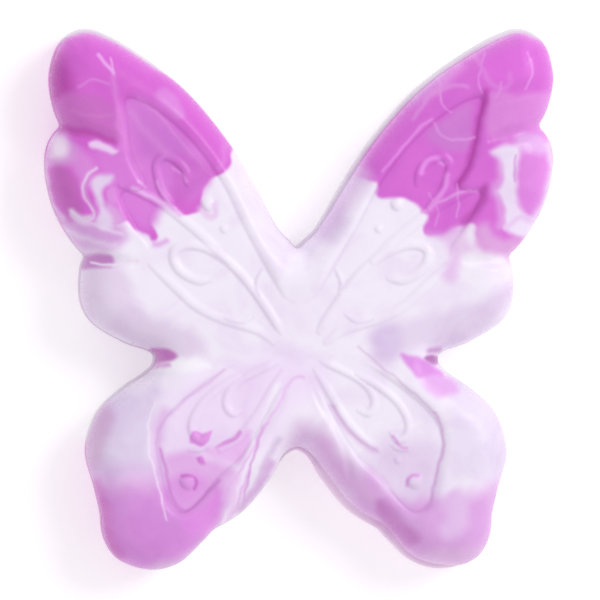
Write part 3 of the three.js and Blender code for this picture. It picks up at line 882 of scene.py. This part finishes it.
    stream("#DFB8E6", 0.9, 2.6, [(-22.8, -18.6), (-23.9, -21), (-24, -25), (-23.4, -29.5)], 0.9),
    pool("#E4B1E9", 2.2, [(-22.6, -26), (-19.8, -25), (-15.6, -26), (-11.4, -28.4), (-14, -30.4),
        (-16.4, -33), (-19.2, -34.6), (-20.8, -33.4), (-21.8, -29.6)]),
    pool("#E09CE4", 3, [(-21.6, -29.6), (-18, -28.6), (-15.4, -30.4), (-17, -33), (-19.4, -34.4),
        (-21, -33)]),
    pool("#E392E5", 2, [(-20, -36), (-16.6, -34), (-14, -31), (-13.6, -35), (-15, -38.4), (-18.6, -38.6)]),
    # painted shade: darker strip on the lower left tip's shoulder, facing away from the key light
    stream("#C768BD", 0.7, 3, [(-34.4, -30.6), (-33.2, -33), (-32.5, -36), (-32, -39.4), (-30.4, -42.4)]),
    pool("#D9ABDD", 2.4, [(-26, -46), (-20, -46), (-14.6, -40.4), (-16.6, -40.6), (-20.4, -42.6),
        (-24, -43.4)]),
    # painted shade along the foot of the lower left cell
    stream("#CD7ACE", 0.15, 0.9, [(-23.4, -24.6), (-22.8, -27.4), (-22, -30.4), (-21.2, -33.2),
        (-19.6, -34.8), (-17.6, -33.8), (-15.6, -31.6), (-13.6, -29.6)], 0.85),
    # painted shade along the upper foot of the lower left cell
    stream("#E1B3E6", 0.12, 1, [(-13, -11.4), (-16.4, -14.2), (-20, -17), (-22.4, -19.4), (-23.7, -21.8),
        (-23.5, -24)], 0.75),
    # painted highlight: a thin near-white line
    stream("#F5EAF9", 0.08, 0.5, [(-24.4, -16.8), (-25.3, -19.6), (-25.5, -23.3), (-25, -26.4),
        (-23.9, -30), (-23.2, -33.6), (-22.3, -36.3)]),
    pool("#E59CE7", 0.5, [(-18.6, -23.6), (-18.1, -21.6), (-16.4, -22), (-15, -21.4), (-15.6, -23),
        (-16.6, -24), (-17.8, -23.8)]),
    stream("#DB96DD", 0.35, 0.6, [(-14, -24.3), (-12, -23.3), (-10.2, -21.8)]),
    pool("#EBBDF0", 1.6, [(-16, -24.4), (-12, -24), (-9, -21.4), (-8.4, -23.4), (-10.6, -27),
        (-15, -25.8)]),
    pool("#DC88DC", 0.5, [(-17.5, -26), (-16.7, -25.7), (-16, -26.3), (-16.1, -27.1), (-17, -26.7)]),
    # painted shade: a dark crescent on one side of the raised dot
    stream("#CB72CB", 0.25, 0.6, [(-20, -28.9), (-19, -28.7), (-18, -29.3), (-17.6, -30.4),
        (-17.9, -31.2)]),
    stream("#F3EAFA", 0.5, 1, [(-12.6, -37), (-11.2, -33.4), (-10.2, -29.6), (-9, -26), (-7.2, -21.6),
        (-5.4, -17.4), (-4, -14)]),
    stream("#DCC9E5", 0.6, 1.4, [(-8, -33), (-7, -29.6), (-5.6, -26), (-4, -23)]),
    stream("#E6B2E9", 0.15, 0.8, [(-13.4, -33), (-11.4, -29.8), (-9, -26), (-7.4, -23.2), (-5.7, -20.4)]),
    stream("#E0A4E4", 0.15, 0.8, [(-12.4, -37), (-11, -34.4), (-9.8, -30.8), (-8.8, -28)], 0.8),
    stream("#ECC6F0", 0.4, 1.8, [(-10.8, -29), (-11.4, -33), (-11.8, -38)]),
    stream("#F7F0FB", 0.1, 0.6, [(-10.4, -35.6), (-9.4, -32.4), (-8.6, -29), (-7.4, -25.4)]),
    # painted shade along the foot of the lower left groove
    stream("#CE90D5", 0.12, 0.7, [(-9.7, -34), (-9.1, -30), (-8.3, -26.6), (-7.2, -23), (-6.4, -21)]),
    stream("#E6BDED", 0.15, 0.9, [(-7.4, -23), (-5.6, -19.8), (-3.6, -16.4), (-2.4, -14.2), (-1.2, -12.9),
        (0, -12.7)]),
    stream("#D8B4DE", 0.8, 1.6, [(-10, -34.6), (-7, -30.6), (-5.2, -27)]),
    pool("#C67AC3", 0.9, [(-25.4, -8.6), (-23.6, -8), (-21.4, -8.2), (-20.6, -9), (-21.2, -9.8),
        (-23, -10.4), (-25, -10.6)]),
    stream("#E3AFE4", 0.3, 0.8, [(-25, -11), (-23.4, -10.9), (-22, -10.7)]),
    # lower right wing
    pool("#E9DEF3", 3, [(26, -12), (36, -18), (36, -29), (30, -29.6), (25, -28), (24.6, -20)]),
    pool("#E2C3E8", 4, [(-1, -20.4), (3, -21), (8, -26), (12, -28.6), (14, -32), (12, -36), (2, -32),
        (-2, -25)]),
    pool("#DBA6E0", 5, [(10.4, -30), (15, -32), (19.4, -35.2), (22.8, -34.4), (26, -32.6), (30, -31.4),
        (38, -30.4), (36, -48), (8, -48)]),
    stream("#E0B3E3", 1.2, 3.2, [(3.4, -24), (6.4, -28.6), (10, -31.6), (13, -34)]),
    pool("#CF8CCF", 1.6, [(12.4, -33), (14.6, -33.4), (17, -36), (19, -38.4), (19.4, -40.2), (17.2, -40.6),
        (15, -38.8), (12.6, -35.6)]),
    pool("#E2BDEA", 2.4, [(24.4, -31.6), (27, -33), (27.4, -37), (24.6, -39.6), (22.6, -37.4)]),
    pool("#DFB4E2", 2.2, [(21, -48), (20.6, -41.8), (26, -41.2), (31, -41.4), (34, -48)]),
    pool("#E3D0EC", 5, [(12, -25), (18, -23), (22, -24), (22, -30), (20, -34.4), (17, -33), (13.4, -29)]),
    pool("#DBA7E1", 3.4, [(14.4, -33), (17.6, -33.4), (21, -32.6), (23.4, -33), (23, -36.6), (19, -37.6),
        (16, -36)]),
    stream("#E2D3EA", 1.2, 3.2, [(27, -13), (31, -16.4), (33, -21), (33.2, -27)]),
    # painted shade along the upper foot of the lower right cell
    stream("#D9BEDF", 0.1, 0.8, [(9.4, -7.8), (14, -11.6), (18.6, -15.6), (21.6, -18.6)]),
    # painted shade along the outer foot of the lower right cell
    stream("#D291D4", 0.1, 0.9, [(21.8, -18.6), (23.2, -21.4), (23.3, -24.6), (22.5, -27.6), (21.7, -30.6),
        (21.4, -33.4), (20.4, -34.8)], 0.7),
    pool("#E6B2EC", 1.8, [(19.8, -12.6), (22, -11.6), (25.6, -13.6), (25.8, -15.4), (22.8, -16),
        (20.4, -14.6)]),
    pool("#DE93E4", 1.1, [(16.4, -8.8), (19.4, -9.4), (21.4, -10.6), (23.6, -12.4), (21.4, -12.4),
        (19.6, -12.9), (18.2, -11.8), (17, -10.4)]),
    pool("#B573B4", 0.8, [(20.4, -9.6), (21.6, -9.2), (23.2, -9.4), (23.2, -10.6), (21.6, -10.7)]),
    stream("#CFA3D2", 0.5, 1, [(21.2, -8.4), (22.8, -8.2)]),
    stream("#DE9FE0", 0.15, 0.7, [(15, -22.6), (15.8, -23.8), (17.4, -24.4)]),
    # painted shade: a dark crescent on one side of the raised dot
    stream("#DA94DC", 0.2, 0.8, [(17.4, -30.6), (17.6, -29.8), (18.2, -28.9), (19.2, -28.9)]),
    # painted shade along the lower vein's south-west flank
    stream("#D8A7DE", 0.4, 1.2, [(5, -17.6), (7.2, -21), (9.6, -23.4), (12, -24.8)], 0.55),
]
rimShades = {
    "ground": "#E9E4EB",
    "coats": [
        pool("#E4CBE6", 2.4, [(-46, 16), (-40, 16), (-33, 6), (-24, -8), (-24, -12), (-34, -16), (-40, -22),
            (-46, -4)], 0.6),
        # violet bleed on the pale layer, made paler to lift the shaded left wall: part pigment, part
        # painted light
        stream("#E3A2DE", 2.2, 2, [(-41.2, 41.5), (-42, 36), (-41, 31), (-40.4, 28.8), (-42.6, 24)]),
        stream("#E8BDE4", 2, 2, [(-42.8, 22), (-41.6, 16.4), (-39.4, 12)]),
        stream("#E6B4E2", 2.4, 2.4, [(-35.6, -26), (-33.6, -31), (-32.6, -37), (-31.2, -41), (-27, -45)]),
        # painted light: made pale so the shaded ledge under the lower right wing looks light
        stream("#F8E2F5", 2.6, 3, [(0, -25.6), (4.6, -30.4), (9, -35.4), (13.8, -38.6), (17, -42),
            (21, -44.6), (28, -44.6)]),
        stream("#DF9BDF", 2.2, 2.6, [(41.4, 41), (42.2, 36), (41, 31)]),
        stream("#E8CDEC", 2, 2, [(42.6, 25), (42.4, 20), (39.6, 13), (36, 7)]),
        stream("#D9B0DC", 2, 3, [(34.6, -28), (33, -34), (32.6, -39), (30, -43.4)]),
    ],
}


silicone = {  # soft platinum silicone: 30 shore, cast in a polished mould
    "ior": 1.41,
    "glossLow": 0.24, "glossHigh": 0.38,  # roughness of the polished face
    "sideRoughness": 0.65, "sideShine": 0.08, "faceShine": 0.38,  # the flanks come out of the mould matt
    "cloud": 7 * mm, "cloudTint": "#F0E3F3",  # patches where the milk is thicker
    "cloudFrom": 0.42, "cloudTo": 0.7, "cloudCover": 0.5,
    "skin": 1.1 * mm, "skinDepth": 0.006 * mm,  # the slight roll of a cast skin
    "skinFrom": 0.3, "skinTo": 0.7,
    "grain": 0.28 * mm, "grainDepth": 0.0008 * mm,  # the mould's polishing marks
}


def siliconeMaterial(name, creaseShadeTint, creaseShadeCover):
    made = bpy.data.materials.new(name)
    made.use_nodes = True
    tree = made.node_tree
    shader = tree.nodes["Principled BSDF"]
    where = addNode(tree, "ShaderNodeTexCoord")["Object"]
    pour = addNode(tree, "ShaderNodeAttribute", attribute_name="pour")["Color"]
    foot = addNode(tree, "ShaderNodeAttribute", attribute_name="crease")["Fac"]
    cloud = addNode(tree, "ShaderNodeTexNoise", {
        "Vector": where, "Scale": 1 / silicone["cloud"], "Detail": 3.0, "Distortion": 0.6})["Fac"]
    thick = addNode(tree, "ShaderNodeMapRange", {
        0: cloud, 1: silicone["cloudFrom"], 2: silicone["cloudTo"], 4: silicone["cloudCover"]})[0]
    body = addNode(tree, "ShaderNodeMix", {0: thick, 6: pour, 7: rgba(silicone["cloudTint"])},
                   data_type="RGBA", blend_type="MULTIPLY")[2]
    # painted shade: the colour is multiplied towards the crease tint along the creases
    amount = addNode(tree, "ShaderNodeMath", {0: foot, 1: creaseShadeCover}, operation="MULTIPLY")[0]
    deep = addNode(tree, "ShaderNodeMix", {0: amount, 6: body, 7: rgba(creaseShadeTint)},
                   data_type="RGBA", blend_type="MULTIPLY")[2]
    tree.links.new(deep, shader.inputs["Base Color"])
    skin = addNode(tree, "ShaderNodeTexNoise", {
        "Vector": where, "Scale": 1 / silicone["skin"], "Detail": 2.0})["Fac"]
    gloss = addNode(tree, "ShaderNodeMapRange", {
        0: skin, 1: silicone["skinFrom"], 2: silicone["skinTo"],
        3: silicone["glossLow"], 4: silicone["glossHigh"]})[0]
    polish = addNode(tree, "ShaderNodeAttribute", attribute_name="polish")["Fac"]
    rough = addNode(tree, "ShaderNodeMix", {0: polish, 2: silicone["sideRoughness"], 3: gloss})[0]
    shine = addNode(tree, "ShaderNodeMapRange", {
        0: polish, 3: silicone["sideShine"], 4: silicone["faceShine"]})[0]
    tree.links.new(rough, shader.inputs["Roughness"])
    tree.links.new(shine, shader.inputs["Specular IOR Level"])
    grain = addNode(tree, "ShaderNodeTexNoise", {"Vector": where, "Scale": 1 / silicone["grain"]})
    fine = addNode(tree, "ShaderNodeBump", {
        "Strength": 1.0, "Distance": silicone["grainDepth"], "Height": grain["Fac"]})[0]
    rolling = addNode(tree, "ShaderNodeBump", {
        "Strength": 1.0, "Distance": silicone["skinDepth"], "Height": skin, "Normal": fine})[0]
    tree.links.new(rolling, shader.inputs["Normal"])
    shader.inputs["IOR"].default_value = silicone["ior"]
    return made


finishes = {  # each pour: its slot in the record, the tint of the painted shade in its creases, and how much
    "milkSilicone": ("milk_silicone", "#C9B4D6", 0.2),  # cloudy white with soft highlights
    "violetSilicone": ("violet_silicone", "#CE7CCB", 0.3),  # dense pigment: strong and glossy
    "lilacSilicone": ("lilac_silicone", "#CC8FD0", 0.25),  # thinner pigment in milk: paler, cloudier
    "orchidSilicone": ("orchid_silicone", "#CC8FD0", 0.25),  # a drop of pigment: small and bright
    "paleBackSilicone": ("pale_back_silicone", "#D9C8DE", 0.5),  # hardly any pigment: a milky rim
}
silicones = {name: siliconeMaterial(name, *values[1:]) for name, values in finishes.items()}


def handOver(piece, node):
    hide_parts(node)
    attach(piece, "root")


face = reliefSheet(silicones["milkSilicone"])
print("stage: relief", len(face["place"]), "points,", len(face["triangles"]), "triangles")
face["shades"] = painted(face["place"][:, :2] / mm, marbling["milk"], coats)
print("stage: colour poured")
for area, (node, (name, finish)) in enumerate(casts.items()):
    piece = castSolid(name, face, area, [(0, rim["thickness"] * mm)], silicones[finish])
    handOver(piece, node)


def backPiece():
    border = outline - outwardNormals(outline) * rim["lowerRound"]
    points = gridPoints(border, sheetGrid["back"], sheetGrid["backRings"])
    flat, faces, _ = triangulated(border, points)
    raised = np.column_stack([flat * mm, np.full(len(flat), rim["thickness"] * mm)])
    rows = []
    turns = [math.radians(90 / rim["roundSteps"] * i) for i in range(rim["roundSteps"] + 1)]
    for turn in turns[1:]:
        rows.append((rim["lowerRound"] * math.sin(turn) * mm,
                     (rim["thickness"] - rim["lowerRound"] * (1 - math.cos(turn))) * mm))
    for turn in turns:
        rows.append(((rim["lowerRound"] - rim["upperRound"] * (1 - math.cos(turn))) * mm,
                     rim["upperRound"] * (1 - math.sin(turn)) * mm))
    sheet = {
        "place": raised, "triangles": faces, "areas": np.zeros(len(faces), int),
        "shades": painted(flat, rimShades["ground"], rimShades["coats"]), "crease": np.zeros(len(flat)),
    }
    return castSolid("paleBack", sheet, 0, rows, silicones["paleBackSilicone"], faceDown=True)


handOver(backPiece(), "back_layer")
print("stage: solids cast")
